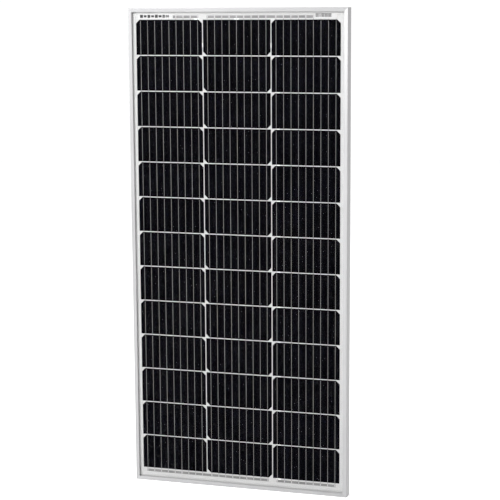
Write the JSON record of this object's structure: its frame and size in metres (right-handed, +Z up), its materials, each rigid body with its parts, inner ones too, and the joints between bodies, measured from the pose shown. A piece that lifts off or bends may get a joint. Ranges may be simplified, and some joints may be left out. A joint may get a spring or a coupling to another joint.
{
  "type": "solar panel",
  "caption": "Upright framed solar panel with dark half-cut cells on white, a satin aluminium frame and a rear junction box.",
  "frame": {"origin": "middle of the bottom edge, half way through the frame's depth", "axes": "+Z up along the panel's long side, +Y from the glass to the rear, +X across the panel"},
  "size_m": [0.54, 0.03, 1.165],
  "materials": {
    "frame_aluminium": "satin clear anodised extrusion",
    "key_metal": "as-cast aluminium",
    "seal_silicone": "light grey cured silicone",
    "front_glass": "low-iron textured solar glass with an anti-reflection coat",
    "encapsulant": "clear cured film",
    "encapsulant_white": "white cured film",
    "silicon": "near-black coated monocrystalline silicon",
    "tinned_ribbon": "solder-coated copper ribbon",
    "insulation_film": "white film",
    "backsheet_white": "white laminated film",
    "label_film": "matt white printed film",
    "rating_film": "satin silver-grey film",
    "adhesive": "white silicone adhesive",
    "box_black": "fine-textured black moulding",
    "gasket_rubber": "matt black rubber",
    "terminal_metal": "tinned copper",
    "diode_case": "moulded black epoxy",
    "diode_wire": "tinned wire"
  },
  "bodies": {
    "panel": {"backsheet": "backsheet_white", "bus_bottom_cross": "tinned_ribbon", "bus_bottom_right": "tinned_ribbon", "bus_top_cross": "tinned_ribbon", "bus_top_left": "tinned_ribbon", "cells_left": "silicon", "cells_middle": "silicon", "cells_right": "silicon", "corner_key_bottom_left": "key_metal", "corner_key_bottom_right": "key_metal", "corner_key_top_left": "key_metal", "corner_key_top_right": "key_metal", "diode_leads": "diode_wire", "diode_left": "diode_case", "diode_right": "diode_case", "edge_seal": "seal_silicone", "front_encapsulant": "encapsulant", "front_glass": "front_glass", "insulation_minus": "insulation_film", "insulation_plus": "insulation_film", "insulation_tap": "insulation_film", "jbox_adhesive": "adhesive", "jbox_base": "box_black", "jbox_gasket": "gasket_rubber", "lead_minus": "tinned_ribbon", "lead_plus": "tinned_ribbon", "lead_tap": "tinned_ribbon", "margin_label": "label_film", "rail_bottom": "frame_aluminium", "rail_left": "frame_aluminium", "rail_right": "frame_aluminium", "rail_top": "frame_aluminium", "rating_label": "rating_film", "rear_encapsulant": "encapsulant_white", "ribbons_left": "tinned_ribbon", "ribbons_middle": "tinned_ribbon", "ribbons_right": "tinned_ribbon", "serial_label": "label_film", "terminal_minus": "terminal_metal", "terminal_plus": "terminal_metal", "terminal_tap": "terminal_metal"},
    "box_lid": {"jbox_lid": "box_black"},
    "left_gland_sleeve": {"gland_seal_left": "gasket_rubber"},
    "left_gland_nut": {"gland_nut_left": "box_black"},
    "right_gland_sleeve": {"gland_seal_right": "gasket_rubber"},
    "right_gland_nut": {"gland_nut_right": "box_black"}
  },
  "joints": [
    {"name": "lid_hinge", "type": "hinge", "parent": "panel", "child": "box_lid", "pos_m": [0, 0.0085, 1.0992], "axis": [1, 0, 0], "range_deg": [0, 110]},
    {"name": "left_sleeve_travel", "type": "slide", "parent": "panel", "child": "left_gland_sleeve", "axis": [0, 0, -1], "range_m": [0, 0.006]},
    {"name": "left_nut_turn", "type": "hinge", "parent": "left_gland_sleeve", "child": "left_gland_nut", "pos_m": [-0.028, 0.0012, 0.993], "axis": [0, 0, -1], "range_deg": [0, 1440]},
    {"name": "right_sleeve_travel", "type": "slide", "parent": "panel", "child": "right_gland_sleeve", "axis": [0, 0, -1], "range_m": [0, 0.006]},
    {"name": "right_nut_turn", "type": "hinge", "parent": "right_gland_sleeve", "child": "right_gland_nut", "pos_m": [0.028, 0.0012, 0.993], "axis": [0, 0, -1], "range_deg": [0, 1440]}
  ],
  "couplings": [
    {"joint": "left_nut_turn", "follows": "left_sleeve_travel", "rad_per_m": 4188.8},
    {"joint": "right_nut_turn", "follows": "right_sleeve_travel", "rad_per_m": 4188.8}
  ]
}
